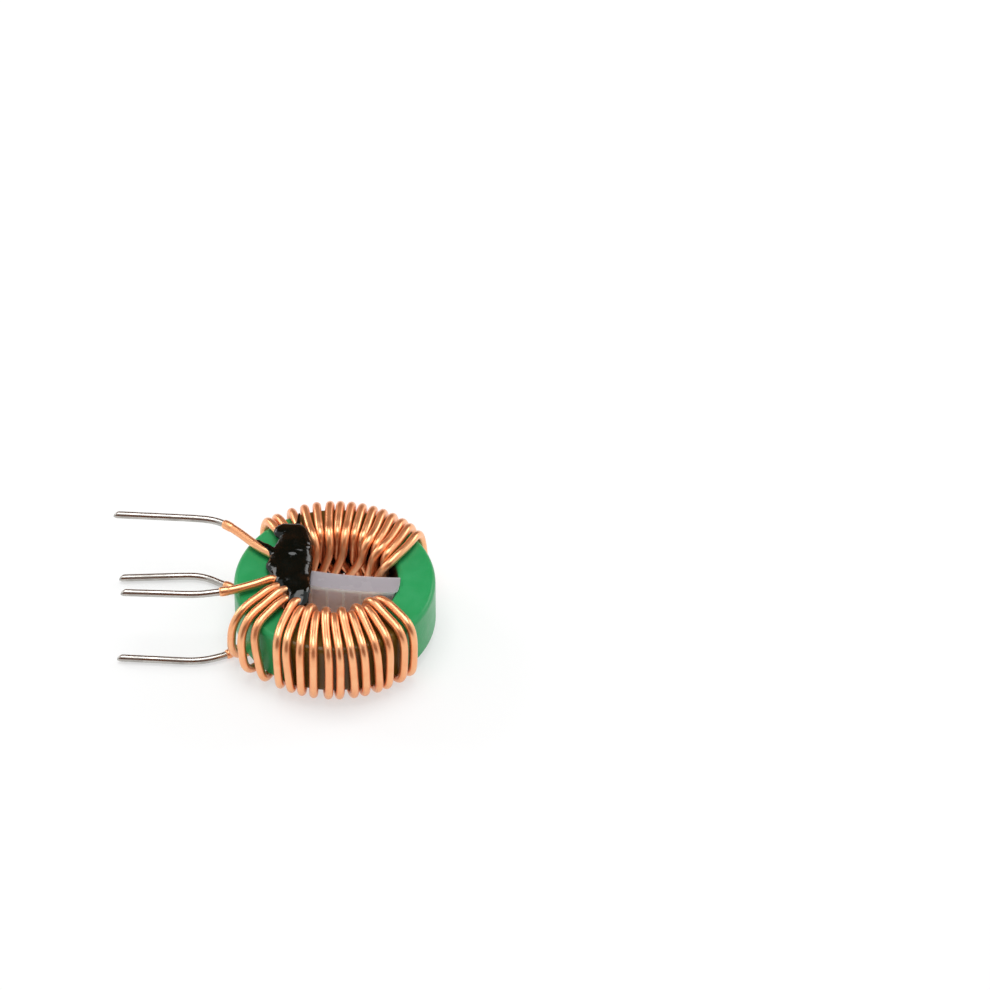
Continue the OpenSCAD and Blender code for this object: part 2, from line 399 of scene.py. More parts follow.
def add_node(
    tree: bpy.types.NodeTree,
    kind: str,
    feeds: dict[str | int, Feed] | None = None,
    **settings: str | bpy.types.NodeTree,
) -> bpy.types.Node:
    """Adds a node to a tree.

    Args:
        tree: The tree.
        kind: The node's type, after "ShaderNode".
        feeds: Numbers, colours and sockets by input.
        settings: The node's properties, which are set first.

    Returns:
        The node.
    """
    node = tree.nodes.new(f"ShaderNode{kind}")
    for label, value in settings.items():
        setattr(node, label, value)
    for slot, feed in (feeds or {}).items():
        fill(tree, node.inputs[slot], feed)
    return node


class Group:
    """A shader node group while its nodes are laid out."""

    def __init__(self, name: str, inputs: dict[str, str], outputs: dict[str, str]) -> None:
        """Makes the group.

        Args:
            name: Its name.
            inputs: Socket types by input name.
            outputs: Socket types by output name.
        """
        self.tree = bpy.data.node_groups.new(name, "ShaderNodeTree")
        for in_out, sockets in (("INPUT", inputs), ("OUTPUT", outputs)):
            for label, kind in sockets.items():
                self.tree.interface.new_socket(name=label, in_out=in_out, socket_type=kind)
        self.given = self.tree.nodes.new("NodeGroupInput").outputs
        self.out = self.tree.nodes.new("NodeGroupOutput").inputs

    def math(self, operation: str, *feeds: Feed) -> Socket:
        """The result of an arithmetic operation."""
        return add_node(self.tree, "Math", dict(enumerate(feeds)), operation=operation).outputs[0]

    def spot(self) -> Socket:
        """A point's place in the part's frame, in metres."""
        return add_node(self.tree, "TexCoord").outputs["Object"]

    def around(self) -> Socket:
        """The level vector from the ring's axis to a point.

        Returns:
            The vector's socket.
        """
        split = add_node(self.tree, "SeparateXYZ", {0: self.spot()}).outputs
        x = self.math("SUBTRACT", split["X"], self.given["Axis"])
        return add_node(self.tree, "CombineXYZ", {"X": x, "Y": split["Y"]}).outputs[0]

    def eased(self, value: Socket, low: Feed, high: Feed) -> Socket:
        """Eases from 0 to 1 while a value goes from low to high.

        Args:
            value: The value.
            low: Where the result is 0.
            high: Where the result is 1.

        Returns:
            The result's socket.
        """
        feeds = {"Value": value, "From Min": low, "From Max": high}
        node = add_node(self.tree, "MapRange", feeds, interpolation_type="SMOOTHSTEP")
        return node.outputs["Result"]

    def tint(self, other: str, mask: Socket) -> bpy.types.NodeTree:
        """Ends the group with its colour, which turns into another where a mask is 1.

        Args:
            other: Name of the input that holds the other colour.
            mask: The mask.

        Returns:
            The finished group.
        """
        feeds = {FACTOR: mask, COLOUR_A: self.given["Colour"], COLOUR_B: self.given[other]}
        mix = add_node(self.tree, "Mix", feeds, data_type="RGBA")
        self.tree.links.new(mix.outputs[MIXED_COLOUR], self.out["Colour"])
        return self.tree


class ShaderKit:
    """The shader groups that the finishes share, each built once."""

    def __init__(self) -> None:
        """Builds the groups."""
        self.mottle = self._mottle()
        self.relief = self._relief()
        self.within = self._within()
        self.sector = self._sector()
        self.above = self._above()

    @staticmethod
    def _mottle() -> bpy.types.NodeTree:
        """A group that wanders between two colours over the surface, in soft patches.

        Returns:
            The group.
        """
        spread = {"Scale": FLOAT, "Cover": FLOAT, "Softness": FLOAT}
        inputs = {"Colour": COLOR, "Patches": COLOR, **spread}
        group = Group("mottle", inputs, {"Colour": COLOR, "Mask": FLOAT})
        given = group.given
        feeds = {"Vector": group.spot(), "Scale": given["Scale"], "Detail": 4.0, "Roughness": 0.6}
        clouds = add_node(group.tree, "TexNoise", feeds).outputs["Fac"]
        edges = (group.math(way, given["Cover"], given["Softness"]) for way in ("ADD", "SUBTRACT"))
        mask = group.eased(clouds, *edges)
        group.tree.links.new(mask, group.out["Mask"])
        return group.tint("Patches", mask)

    @staticmethod
    def _relief() -> bpy.types.NodeTree:
        """A group that gives the height of a fine uneven skin, of two sizes of noise.

        Returns:
            The group.
        """
        inputs = {"Coarse": FLOAT, "Fine": FLOAT, "Balance": FLOAT}
        group = Group("relief", inputs, {"Height": FLOAT})
        spot = group.spot()
        heights = {}
        for label, slot, detail in (("Coarse", NUMBER_A, 2.0), ("Fine", NUMBER_B, 5.0)):
            feeds = {"Vector": spot, "Scale": group.given[label], "Detail": detail}
            heights[slot] = add_node(group.tree, "TexNoise", feeds).outputs["Fac"]
        mix = add_node(group.tree, "Mix", {FACTOR: group.given["Balance"], **heights})
        group.tree.links.new(mix.outputs[MIXED_NUMBER], group.out["Height"])
        return group.tree

    @staticmethod
    def _within() -> bpy.types.NodeTree:
        """A group that changes the colour inside an upright cylinder around the ring's axis.

        Returns:
            The group.
        """
        lengths = {"Radius": FLOAT, "Blend": FLOAT, "Axis": FLOAT}
        group = Group("within", {"Colour": COLOR, "Inside": COLOR, **lengths}, {"Colour": COLOR})
        away = add_node(group.tree, "VectorMath", {0: group.around()}, operation="LENGTH")
        rim = group.math("ADD", group.given["Radius"], group.given["Blend"])
        mask = group.eased(away.outputs["Value"], rim, group.given["Radius"])
        return group.tint("Inside", mask)

    @staticmethod
    def _sector() -> bpy.types.NodeTree:
        """A group that changes the colour in the two sectors where the turns lie close.

        Returns:
            The group.
        """
        inputs = {"Colour": COLOR, "Inside": COLOR, "Axis": FLOAT}
        group = Group("sector", inputs, {"Colour": COLOR})
        aim = add_node(group.tree, "VectorMath", {0: group.around()}, operation="NORMALIZE")
        cosine = add_node(group.tree, "SeparateXYZ", {0: aim.outputs["Vector"]}).outputs["X"]
        edges = [group.eased(cosine, low, high) for low, high in SECTOR_EDGES]
        return group.tint("Inside", group.math("MULTIPLY", *edges))

    @staticmethod
    def _above() -> bpy.types.NodeTree:
        """A group that changes the colour above a height.

        Returns:
            The group.
        """
        inputs = {"Colour": COLOR, "Cap": COLOR, "Height": FLOAT, "Blend": FLOAT}
        group = Group("above", inputs, {"Colour": COLOR})
        height = add_node(group.tree, "SeparateXYZ", {0: group.spot()}).outputs["Z"]
        full = group.math("ADD", group.given["Height"], group.given["Blend"])
        return group.tint("Cap", group.eased(height, group.given["Height"], full))


class Painter:
    """Lays out the nodes of one material around its Principled shader."""

    def __init__(self, name: str) -> None:
        """Makes the material with its shader and output.

        Args:
            name: The material's name.
        """
        self.material = bpy.data.materials.new(name)
        self.material.use_nodes = True
        self.tree = self.material.node_tree
        self.shader = self.tree.nodes["Principled BSDF"]

    def group(self, tree: bpy.types.NodeTree, feeds: dict[str, Feed]) -> bpy.types.Node:
        """Places a shared group with this material's own values."""
        return add_node(self.tree, "Group", feeds, node_tree=tree)

    def set(self, *values: tuple[str, Feed]) -> None:
        """Sets plain values on the shader or joins sockets to it, by input name."""
        for label, value in values:
            fill(self.tree, self.shader.inputs[label], value)

    def bump(self, height: Socket, strength: float, distance: float) -> None:
        """Turns a height into the shader's normal.

        Args:
            height: The height socket.
            strength: Strength of the bump.
            distance: Depth of the bump, in millimetres.
        """
        feeds = {"Height": height, "Strength": strength, "Distance": distance * MM}
        self.set(("Normal", add_node(self.tree, "Bump", feeds).outputs["Normal"]))

    def between(self, mask: Socket, target: str, low: float, high: float) -> None:
        """Drives one of the shader's inputs by a mask.

        Args:
            mask: The mask, from 0 to 1.
            target: The shader's input.
            low: Its value where the mask is 0.
            high: Its value where the mask is 1.
        """
        feeds = {"Value": mask, "To Min": low, "To Max": high}
        self.set((target, add_node(self.tree, "MapRange", feeds).outputs["Result"]))


# ---------------------------------------------------------------- finishes


@dataclass(frozen=True)
class Finish(ABC):
    """A finish of two wandering tones, with a roughness that follows them and a fine relief.

    Attributes:
        title: Name of its material.
        colour: Its main tone.
        patches: The tone that wanders over it.
        roughness: Roughness of the main tone and of the patches.
        spread: Scale, cover and softness of the patches.
        relief: Scales of the coarse and the fine relief, and their balance.
        bump: Strength of the relief, and its depth in millimetres.
        plain: The shader's other values.
    """

    title: str
    colour: Rgb
    patches: Rgb
    roughness: tuple[float, float]
    spread: tuple[float, float, float]
    relief: tuple[float, float, float]
    bump: tuple[float, float]
    plain: tuple[tuple[str, float | Rgb], ...]

    def material(self, kit: ShaderKit) -> bpy.types.Material:
        """Builds the material from the shared groups.

        Args:
            kit: The shared groups.

        Returns:
            The material.
        """
        paint = Painter(self.title)
        spread = dict(zip(("Scale", "Cover", "Softness"), self.spread))
        tones = {"Colour": self.colour, "Patches": self.patches, **spread}
        patches = paint.group(kit.mottle, tones).outputs
        paint.set(("Base Color", self.toned(paint, kit, patches["Colour"])))
        paint.between(patches["Mask"], "Roughness", *self.roughness)
        skin = paint.group(kit.relief, dict(zip(("Coarse", "Fine", "Balance"), self.relief)))
        paint.bump(skin.outputs["Height"], *self.bump)
        paint.set(*self.plain)
        return paint.material

    @abstractmethod
    def toned(self, paint: Painter, kit: ShaderKit, colour: Socket) -> Socket:
        """The finish's own change of tone from place to place.

        Args:
            paint: The material being laid out.
            kit: The shared groups.
            colour: The colour so far.

        Returns:
            The colour to use.
        """


class EvenFinish(Finish):
    """A finish that is alike all over its piece."""

    def toned(self, paint: Painter, kit: ShaderKit, colour: Socket) -> Socket:
        """The colour as it is."""
        return colour


@dataclass(frozen=True)
class EpoxyCoat(Finish):
    """Green powder epoxy baked on a ferrite ring, with painted shade between the close turns and on
    the window's wall.

    Attributes:
        painted_gap_shade: Painted shade between the close turns, brown as the copper's bounce light
            makes it.
        window: Painted shade on the window's wall, near black with a brown tint.
        window_edge: Width over which that painted shade fades in at the wall's edge, in
            millimetres.
    """

    title: str = "green_epoxy"
    colour: Rgb = (0.019, 0.31, 0.092)
    patches: Rgb = (0.027, 0.335, 0.11)
    roughness: tuple[float, float] = (0.3, 0.42)
    spread: tuple[float, float, float] = (260.0, 0.5, 0.16)
    relief: tuple[float, float, float] = (420.0, 2600.0, 0.3)
    bump: tuple[float, float] = (0.5, 0.12)
    plain: tuple[tuple[str, float | Rgb], ...] = (
        ("Coat Weight", 0.1),
        ("Coat Roughness", 0.2),
        ("Specular IOR Level", 0.25),
    )
    painted_gap_shade: Rgb = (0.14, 0.075, 0.006)
    window: Rgb = (0.022, 0.012, 0.005)
    window_edge: float = 0.25

    def toned(self, paint: Painter, kit: ShaderKit, colour: Socket) -> Socket:
        """Painted shade between the close turns, and painted shade on the window's wall.

        Args:
            paint: The material being laid out.
            kit: The shared groups.
            colour: The colour so far.

        Returns:
            The colour to use.
        """
        axis = RING.offset_x * MM
        # Painted shade, brown from the copper's bounce light, in the sectors where the turns lie
        # close
        gap_shaded = paint.group(kit.sector, {"Colour": colour, "Inside": self.painted_gap_shade, "Axis": axis})
        # Painted shade on the window's wall, inside the window's radius
        wall = {
            "Colour": gap_shaded.outputs["Colour"],
            "Inside": self.window,
            "Radius": RING.inner_d / 2 * MM,
            "Blend": self.window_edge * MM,
            "Axis": axis,
        }
        return paint.group(kit.within, wall).outputs["Colour"]


@dataclass(frozen=True)
class EnamelledCopper(EvenFinish):
    """Clear orange enamel on drawn copper wire."""

    title: str = "enamelled_copper"
    colour: Rgb = (1.0, 0.5, 0.245)
    patches: Rgb = (0.97, 0.43, 0.2)
    roughness: tuple[float, float] = (0.32, 0.39)
    spread: tuple[float, float, float] = (340.0, 0.47, 0.12)
    relief: tuple[float, float, float] = (260.0, 1100.0, 0.12)
    bump: tuple[float, float] = (0.12, 0.02)
    plain: tuple[tuple[str, float | Rgb], ...] = (
        ("Metallic", 0.88),
        ("Coat Weight", 0.3),
        ("Coat Roughness", 0.24),
        ("Coat IOR", 1.5),
    )


@dataclass(frozen=True)
class DippedTin(EvenFinish):
    """Solder left on a stripped wire by dipping."""

    title: str = "dipped_tin"
    colour: Rgb = (0.52, 0.505, 0.475)
    patches: Rgb = (0.4, 0.385, 0.36)
    roughness: tuple[float, float] = (0.25, 0.38)
    spread: tuple[float, float, float] = (450.0, 0.46, 0.14)
    relief: tuple[float, float, float] = (500.0, 2400.0, 0.2)
    bump: tuple[float, float] = (0.3, 0.04)
    plain: tuple[tuple[str, float | Rgb], ...] = (("Metallic", 1.0),)


@dataclass(frozen=True)
class MilkyPlastic(Finish):
    """Moulded plastic that lets a little light through, its walls painted brighter than its top as
    painted light against the front winding's shade.

    Attributes:
        cap: Tone of the top, darker than the walls' painted light.
        cap_z: Height at which the top's tone begins, in millimetres.
        cap_edge: Height over which it comes in, in millimetres.
    """

    title: str = "milky_plastic"
    # The walls' near-white tone is painted light, making up for the shade that the front winding
    # casts on them
    colour: Rgb = (0.87, 0.97, 1.0)
    patches: Rgb = (0.81, 0.91, 0.95)
    roughness: tuple[float, float] = (0.2, 0.32)
    spread: tuple[float, float, float] = (300.0, 0.5, 0.2)
    relief: tuple[float, float, float] = (500.0, 3000.0, 0.5)
    bump: tuple[float, float] = (0.3, 0.04)
    plain: tuple[tuple[str, float | Rgb], ...] = (
        ("Subsurface Weight", 0.6),
        ("Subsurface Scale", 0.0015),
        ("Subsurface Radius", (1.0, 1.0, 1.0)),
        ("Specular IOR Level", 0.4),
    )
    cap: Rgb = (0.38, 0.35, 0.375)
    cap_z: float = 7.81
    cap_edge: float = 0.05

    def toned(self, paint: Painter, kit: ShaderKit, colour: Socket) -> Socket:
        """The top's tone, darker than the walls' painted light.

        Args:
            paint: The material being laid out.
            kit: The shared groups.
            colour: The colour so far.

        Returns:
            The colour to use.
        """
        lengths = {"Height": self.cap_z * MM, "Blend": self.cap_edge * MM}
        top = paint.group(kit.above, {"Colour": colour, "Cap": self.cap, **lengths})
        return top.outputs["Colour"]


@dataclass(frozen=True)
class SunkPanels(MilkyPlastic):
    """The same plastic on the sunk panels between the ribs, painted darker than the ribs as painted
    shade in the recesses.
    """

    title: str = "milky_panels"
    colour: Rgb = (0.8, 0.84, 0.88)
    patches: Rgb = (0.74, 0.78, 0.82)


@dataclass(frozen=True)
class BlackGlue(EvenFinish):
    """Glossy black fixing glue, set where it ran."""

    title: str = "black_glue"
    colour: Rgb = (0.0006, 0.0034, 0.0027)
    patches: Rgb = (0.0014, 0.0044, 0.0035)
    roughness: tuple[float, float] = (0.08, 0.17)
    spread: tuple[float, float, float] = (500.0, 0.45, 0.12)
    relief: tuple[float, float, float] = (650.0, 2400.0, 0.3)
    bump: tuple[float, float] = (0.35, 0.06)
    plain: tuple[tuple[str, float | Rgb], ...] = (("Specular IOR Level", 0.4),)


# ---------------------------------------------------------------- windings


@dataclass(frozen=True)
class Lead:
    """One end of a wire.

    Attributes:
        name: The lead's name.
        back: How far its tip stays behind the longest lead's.
        tip_y: Y of its tip.
        angle: Direction of its straight end.
        bends: Distance beyond the ring's edge, Y and kind of each bend, from the tip inwards.
        reach: How far the longest lead reaches beyond the ring.
        straight: Length of the straight end.
    """

    name: str
    back: float
    tip_y: float
    angle: float
    bends: list[tuple[float, float, Bend]]

    reach: float = 13.3
    straight: float = 7.55

    def points(self, z: float) -> np.ndarray:
        """The lead's points from the tip inwards, with the ring's axis as origin.

        Args:
            z: Height of the lead.

        Returns:
            One row for each point.
        """
        edge = -RING.outer_d / 2
        a = math.radians(self.angle)
        tip = np.array([self.back + edge - self.reach, self.tip_y, z])
        root = tip + self.straight * np.array([math.cos(a), math.sin(a), 0.0])
        return np.array([tip, root, *([edge - d, y, z] for d, y, _ in self.bends)])

    def lump_at(self, z: float) -> tuple[np.ndarray, np.ndarray]:
        """Where the lump at the enamel's start begins and ends.

        Args:
            z: Height of the lead.

        Returns:
            The lump's first and last point.
        """
        points = self.points(z)[2:]
        lump = [p for p, (_, _, kind) in zip(points, self.bends) if kind is Bend.LUMP]
        return lump[0], lump[-1]


@dataclass
class Winding:
    """One continuous wire: two leads and fifteen turns, in two layers inside the window.

    Angles around a turn go from 90 on top through 180 in the window to 270 on the underside, and
    on outside the ring to 450.

    Attributes:
        side: The half of the ring it covers.
        outer: Outer angle of each turn.
        drift: How far each turn's foot drifts from its outer angle.
        slack: Extra slack of the first turns.
        inner: Inner angle of each slot.
        order: Order in which the slots are wound.
        first_layer: Number of inner legs in the first layer.
        ends: Angles at which the wire comes in and goes out.
        top: The lead that lies on top.
        low: The lead that lies on the table.
        seed: Where its tinned ends' wobble is read from the noise.
        crown_rise: Height of a turn's crown over the window's edge.
        square_out: Squareness of a turn outside the ring.
        square_in: Squareness of a turn in the window.
        square_loose: Squareness of a slack turn outside the ring.
        slack_from: Extra slack from which a turn is a slack one.
        swell: Swell of an inner leg of the first and of the second layer.
        swell_in: Where around a turn the swell begins, and over what angle it grows.
        swell_out: Where it begins to fade, and over what angle.
        lift_from: Where around a turn a leg of the second layer leaves the first.
        late_lift_from: The same for the second layer's first legs.
        late_legs: Number of those legs.
        lift_over: Angle over which a leg leaves the first layer.
        foot_over: Angle before the underside over which it comes back.
        crown_from: Place across the turn where the crown begins, from 1 outside to -1 inside.
        crown_over: How far across the crown grows.
        cross_from: Share of the way down where a leg begins to cross to the next slot, in the
            first and in the second layer.
        cross_to: Share of the way down where it ends.
        first_a: Angle around the turn at which the wire comes in.
        last_a: Angle around the turn at which it goes out.
        step_a: Angle between the points of a turn.
        tight: Reach of the mean that rounds the turns.
        soft: Reach of the mean that rounds the leads, and length over which the two blend.
        lump_rise: Height of the lumps at the enamel's ends.
        lump_tail: Number of points that a lump reaches beyond its last bend.
        enamel_end: How far the enamel's first two sections draw in.
        lap: Number of points that a tinned end reaches into the enamel.
        wobble: Share by which a tinned end's radius wanders.
        wobble_rate: Waves of that wobble per millimetre.
        tip_taper: Radius of a tip's first sections, as shares of its radius.
        tip_cut: Lean of a tip's oblique cut.
        step: Distance between the points of the wire, whose mesh stays under 200,000 triangles.
        sides: Number of points around the wire.
    """

    side: Side
    outer: list[float]
    drift: list[float]
    slack: list[float]
    inner: list[float]
    order: list[int]
    first_layer: int
    ends: tuple[float, float]
    top: Lead
    low: Lead
    seed: float
    crown_rise: float

    square_out: float = 3.5
    square_in: float = 4.4
    square_loose: float = 2.7
    slack_from: float = 0.5
    swell: tuple[float, float] = (0.3, 0.05)
    swell_in: tuple[float, float] = (105.0, 30.0)
    swell_out: tuple[float, float] = (140.0, 35.0)
    lift_from: float = 94.0
    late_lift_from: float = 115.0
    late_legs: int = 1
    lift_over: float = 66.0
    foot_over: float = 38.0
    crown_from: float = 0.55
    crown_over: float = 1.5
    cross_from: tuple[float, float] = (0.4, 0.12)
    cross_to: float = 0.9
    first_a: float = 112.5
    last_a: float = 247.5
    step_a: float = 0.5
    tight: float = 0.3
    soft: float = 1.5
    lump_rise: float = 0.06
    lump_tail: int = 5
    enamel_end: tuple[float, float] = (0.05, 0.02)
    lap: int = 5
    wobble: float = 0.03
    wobble_rate: float = 0.9
    tip_taper: tuple[float, ...] = (0.72, 0.9, 0.98)
    tip_cut: float = -0.22
    step: float = 0.102
    sides: int = 24

    @property
    def name(self) -> str:
        """The winding's CAD node."""
        return f"{self.side.name.lower()}_winding"

    @property
    def low_lead_z(self) -> float:
        """Height of the low lead, whose lump rests on the table."""
        return RING.wire_r + self.lump_rise

    def turns(self) -> np.ndarray:
        """The middle line of the turns, with the ring's axis as origin.

        Returns:
            Its points, closely spaced, in the order in which the turns are wound.
        """
        n = len(self.outer)
        whole = np.arange(self.first_a, 360.0 * n + self.last_a, self.step_a)
        leg = np.floor((whole - 90.0) / 360.0).astype(int)
        a = whole - 360.0 * leg
        slot = np.array(self.order)[np.clip(leg, 0, n - 1)]
        slack = np.r_[self.slack, np.zeros(n - len(self.slack))][slot]
        inside = a <= 270.0
        loose = np.where(slack > self.slack_from, self.square_loose, self.square_out)
        square = np.where(inside, self.square_in, loose)
        across = power(np.cos(np.radians(a)), square)
        up = power(np.sin(np.radians(a)), square)
        off_in, off_up = self._second_layer(leg, a, across, up)
        reach_out = (RING.turn_out + slack) * across
        reach = np.where(inside, RING.turn_in * across - off_in, reach_out)
        over_edge = ramp((self.crown_from - across) / self.crown_over)
        crown = self.crown_rise * np.maximum(up, 0.0) * over_edge
        r = RING.mid_r + reach
        z = RING.mid_z + RING.turn_high * up + off_up + crown
        inner = self._inner_bearing(leg, a, up, r)
        theta = np.radians(np.where(inside, inner, self._outer_bearing(slot, a, across, up)))
        return np.stack([-r * np.cos(theta), self.side.value * r * np.sin(theta), z], axis=1)

    def _second_layer(
        self, leg: np.ndarray, a: np.ndarray, across: np.ndarray, up: np.ndarray
    ) -> tuple[np.ndarray, np.ndarray]:
        """How far the turns' points stand off the first layer's loop.

        Args:
            leg: Number of the inner leg.
            a: Angle around the turn.
            across: Place across the loop, from 1 outside to -1 inside.
            up: Place up the loop, from 1 on top to -1 on the underside.

        Returns:
            The distances into the window and upwards, which are nothing outside the window.
        """
        late = leg < self.first_layer + self.late_legs
        leave = np.where(late, self.late_lift_from, self.lift_from)
        lift = self._lift(leg >= self.first_layer, a, leave)
        nx = np.abs(across) ** (self.square_in - 1.0) / RING.turn_in
        nz = np.abs(up) ** (self.square_in - 1.0) / RING.turn_high
        length = np.hypot(nx, nz)
        top = a < 180.0
        return lift * np.where(top, nx / length, 1.0), lift * np.where(top, nz / length, 0.0)

    def _lift(self, second: np.ndarray, a: np.ndarray, leave: np.ndarray) -> np.ndarray:
        """How far an inner leg stands off the first layer's place.

        Args:
            second: True where the leg is in the second layer.
            a: Angle around the turn.
            leave: The angle at which a leg of the second layer leaves the first.

        Returns:
            The distance, in millimetres.
        """
        layer = RING.wire_d + RING.layer_play
        (grow, grow_over), (fade, fade_over) = self.swell_in, self.swell_out
        swell = ramp((a - grow) / grow_over) * (1.0 - ramp((a - fade) / fade_over))
        first_swell, second_swell = self.swell
        top = a < 180.0
        lower = np.where(top, first_swell * swell, 0.0)
        rising = layer * ramp((a - leave) / self.lift_over) + second_swell * swell
        upper = np.where(top, rising, layer * ramp((270.0 - a) / self.foot_over))
        return np.where(second, upper, lower)

    def _inner_bearing(
        self, leg: np.ndarray, a: np.ndarray, up: np.ndarray, r: np.ndarray
    ) -> np.ndarray:
        """The angle along the winding of the inner legs' points.

        Args:
            leg: Number of the inner leg.
            a: Angle around the turn.
            up: Place up the loop, from 1 on top to -1 on the underside.
            r: Distance from the ring's axis.

        Returns:
            The angle, in degrees.
        """
        order, (first, last) = np.array(self.order), self.ends
        outer, inner = np.array(self.outer)[order], np.array(self.inner)[order]
        foot = outer + np.array(self.drift)[order]
        from_in, from_out = np.r_[first, inner][leg], np.r_[first, outer][leg]
        to_in, to_foot = np.r_[inner, last][leg], np.r_[foot, last][leg]
        start = np.where(leg < self.first_layer, *self.cross_from)
        down = (1.0 - up) / 2.0
        slant = ramp((down - start) / (self.cross_to - start))
        edge = np.maximum((r - RING.mid_r) / RING.turn_in + 1.0, 0.0) / 2.0
        spread = np.where(a < 180.0, from_out - from_in, to_foot - to_in)
        return from_in + (to_in - from_in) * slant + spread * edge

    def _outer_bearing(
        self, slot: np.ndarray, a: np.ndarray, across: np.ndarray, up: np.ndarray
    ) -> np.ndarray:
        """The angle along the winding of the outer legs' points.

        Args:
            slot: The turn's slot.
            a: Angle around the turn.
            across: Place across the loop, from 1 outside to -1 inside.
            up: Place up the loop, from 1 on top to -1 on the underside.

        Returns:
            The angle, in degrees.
        """
        outer, inner = np.array(self.outer)[slot], np.array(self.inner)[slot]
        foot = outer + np.array(self.drift)[slot]
        edge = (1.0 - across) / 2.0
        upright = foot + (outer - foot) * (1.0 + up) / 2.0
        return upright + (inner - np.where(a < 360.0, foot, outer)) * edge

    def path(self) -> np.ndarray:
        """The whole wire's middle line, from the top lead's tip to the low one's.

        Returns:
            Its points, evenly spaced.
        """
        top, low = self.top.points(RING.top_lead_z), self.low.points(self.low_lead_z)
        even = resampled(np.vstack([top, self.turns(), low[::-1]]), self.step)
        tight = smoothed(even, round(self.tight / self.step))
        soft = smoothed(even, round(self.soft / self.step))
        s = arc_length(even)
        come_in = ramp((s - arc_length(top)[-1]) / self.soft)
        go_out = ramp((s[-1] - arc_length(low)[-1] - s) / self.soft)
        return soft + (tight - soft) * (come_in * go_out)[:, None] + AXIS

    def build(self, copper: bpy.types.Material, tin: bpy.types.Material) -> None:
        """Makes the enamelled wire and its two tinned ends.

        Args:
            copper: Material of the enamelled wire.
            tin: Material of the tinned ends.
        """
        path = self.path()
        (top_start, top_end), (low_start, low_end) = (
            [int(np.linalg.norm(path - (p + AXIS), axis=1).argmin()) for p in lead.lump_at(z)]
            for lead, z in ((self.top, RING.top_lead_z), (self.low, self.low_lead_z))
        )
        lumps = (top_end - top_start, low_start - low_end)
        self._wire(path[top_start : low_start + 1], lumps, copper)
        self._tinned(self.top.name, path[: top_start + self.lap], tin)
        self._tinned(self.low.name, path[low_start - self.lap + 1 :][::-1], tin)

    def _wire(self, path: np.ndarray, lumps: tuple[int, int], copper: bpy.types.Material) -> None:
        """Makes the enamelled length with the lumps at its two ends.

        Args:
            path: Its middle line.
            lumps: Number of points in the lump at the first and at the last end.
            copper: Its material.
        """
        radii = np.full(len(path), RING.wire_r)
        for points, end in zip(lumps, (radii, radii[::-1])):
            reach = points + self.lump_tail
            bump = self.lump_rise * np.sin(np.pi * (np.arange(reach + 1) / reach)) ** 0.5
            bump[:2] -= self.enamel_end
            end[: reach + 1] += bump
        wire = link(f"{self.name}_wire", tube(path, radii, self.sides))
        dress(wire, [copper], self.name)

    def _tinned(self, name: str, path: np.ndarray, tin: bpy.types.Material) -> None:
        """Makes one tinned end, cut obliquely at its tip.

        Args:
            name: The lead's name.
            path: Its middle line, from the tip inwards.
            tin: Its material.
        """
        places = np.arange(len(path)) * self.step * self.wobble_rate
        waves = np.array([noise.noise(Vector((x, self.seed, 0.0))) for x in places])
        radii = RING.tin_r * (1.0 + self.wobble * waves)
        radii[: len(self.tip_taper)] *= self.tip_taper
        end = link(f"{name}_tinned", tube(path, radii, self.sides, self.tip_cut))
        dress(end, [tin])


# Turns of each winding
TURNS = 15
# Extra play beside one of the crowded slots and before the last slot, in degrees
SLOT_PLAY, LAST_PLAY = 0.7, 2.0
# The front winding's wide slots: how many, the first one's angle and the angle between them
WIDE_SLOTS, WIDE_FROM, WIDE_STEP = 3, 17.0, 9.5
# Where the front winding's crowded slots end and where the back winding's slots begin
FRONT_END, BACK_START = 141.0, 41.0
# The back winding's slots after this one stand off by the play
BACK_CLOSE_SLOT = 8


def front_inner() -> list[float]:
    """Inner angles of the front winding's slots.

    Returns:
        The angles, in degrees, from the lead side on.
    """
    wide = [WIDE_FROM + WIDE_STEP * k for k in range(WIDE_SLOTS)]
    places = range(WIDE_SLOTS, TURNS)
    crowded = [FRONT_END - RING.inner_pitch * (TURNS - 1 - k) for k in places]
    crowded[0] -= SLOT_PLAY
    crowded[-1] += LAST_PLAY
    return wide + crowded


def back_inner() -> list[float]:
    """Inner angles of the back winding's slots.

    Returns:
        The angles, in degrees, from the lead side on.
    """
    play = [SLOT_PLAY if k > BACK_CLOSE_SLOT else 0.0 for k in range(TURNS)]
    even = [BACK_START + RING.inner_pitch * k + play[k] for k in range(TURNS)]
    even[-1] += LAST_PLAY
    return even


# Short names for the tables of bends
T, L, E = Bend.TINNED, Bend.LUMP, Bend.ENAMELLED


